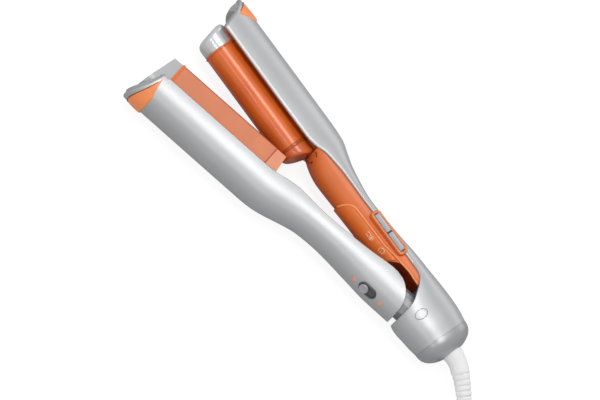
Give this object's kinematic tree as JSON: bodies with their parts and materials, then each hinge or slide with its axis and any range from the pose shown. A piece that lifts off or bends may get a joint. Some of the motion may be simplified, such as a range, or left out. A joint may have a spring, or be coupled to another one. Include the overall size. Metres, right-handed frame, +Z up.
{
  "type": "hair waver",
  "caption": "Two-arm hair waver with a heated barrel, a heated trough that closes round it, a sprung hinge, buttons, a lock slider and a coiled cord.",
  "frame": {"origin": "on the table, at the middle of the hinge cap's flat underside, on the hinge axis", "axes": "+X along the fixed arm towards the tips, +Y towards the opening arm, +Z up along the hinge axis"},
  "size_m": [0.5173, 0.1378, 0.0385],
  "materials": {
    "silver_shell": "satin silver paint on moulded plastic",
    "dark_silver": "satin dark silver paint on moulded plastic",
    "orange_cover": "satin orange plastic",
    "orange_pad": "satin bright orange plastic",
    "bezel_orange": "glossy orange plastic",
    "button_silver": "glossy silver plastic",
    "coated_metal": "satin orange ceramic coating",
    "trough_coat": "satin light orange ceramic coating",
    "heat_plastic": "satin dark orange heat-resistant plastic",
    "nose_plastic": "glossy light silver plastic",
    "grey_plastic": "satin grey plastic",
    "slot_plastic": "satin dark grey plastic",
    "core_metal": "plain",
    "heater_ceramic": "matte ceramic",
    "steel": "plain",
    "bracket_steel": "dark zinc plating",
    "switch_plastic": "black",
    "board": "green solder mask",
    "cord_white": "satin white",
    "plug_white": "satin white",
    "pin_metal": "nickel plated"
  },
  "bodies": {
    "fixed_arm": {"right_shell": "silver_shell", "end_cap": "dark_silver", "right_inner_cover": "orange_cover", "control_pad": "orange_pad", "button_frame": "bezel_orange", "tact_switches": "switch_plastic", "circuit_board": "board", "barrel_tray": "heat_plastic", "barrel": "coated_metal", "barrel_heel_ring": "heat_plastic", "barrel_heel_cap": "heat_plastic", "barrel_nose_cap": "nose_plastic", "barrel_core": "core_metal", "barrel_heater": "heater_ceramic", "barrel_sensor": "steel", "right_tip_plug": "nose_plastic", "right_cool_tip": "bezel_orange", "hinge_bracket": "bracket_steel", "hinge_pin": "steel", "hinge_cap_top": "silver_shell", "hinge_foot": "silver_shell", "hinge_spring": "steel", "bracket_screws": "steel", "board_lead": "cord_white", "strain_relief": "cord_white", "cord_lead": "cord_white", "cord_coil": "cord_white", "cord_tail": "cord_white", "plug_body": "plug_white", "plug_pins": "pin_metal"},
    "opening_arm": {"left_shell": "silver_shell", "left_inner_cover": "orange_cover", "hinge_knuckle": "dark_silver", "knuckle_screws": "steel", "trough_plate": "trough_coat", "trough_nose_band": "bezel_orange", "trough_heel_band": "bezel_orange", "trough_nose_cap": "grey_plastic", "trough_heel_cap": "heat_plastic", "trough_bezel": "grey_plastic", "trough_heater": "heater_ceramic", "heater_clip": "steel", "left_tip_plug": "grey_plastic", "left_cool_tip": "bezel_orange", "lock_bezel": "slot_plastic", "lock_dots": "bezel_orange"},
    "lock": {"lock_slider": "button_silver"},
    "power": {"power_button": "button_silver"},
    "mode": {"mode_button": "button_silver"}
  },
  "joints": [
    {"name": "arm_hinge", "type": "hinge", "parent": "fixed_arm", "child": "opening_arm", "pos_m": [0, 0, 0.019], "axis": [0, 0, 1], "range_deg": [-13.2, 0], "stiffness_Nm_per_rad": 0.6, "springref_deg": 17.19},
    {"name": "lock_slide", "type": "slide", "parent": "opening_arm", "child": "lock", "axis": [-0.9736, -0.2283, 0], "range_m": [0, 0.006]},
    {"name": "power_press", "type": "slide", "parent": "fixed_arm", "child": "power", "axis": [0, 0, -1], "range_m": [0, 0.0008], "stiffness_N_per_m": 800},
    {"name": "mode_press", "type": "slide", "parent": "fixed_arm", "child": "mode", "axis": [0, 0, -1], "range_m": [0, 0.0008], "stiffness_N_per_m": 800}
  ]
}
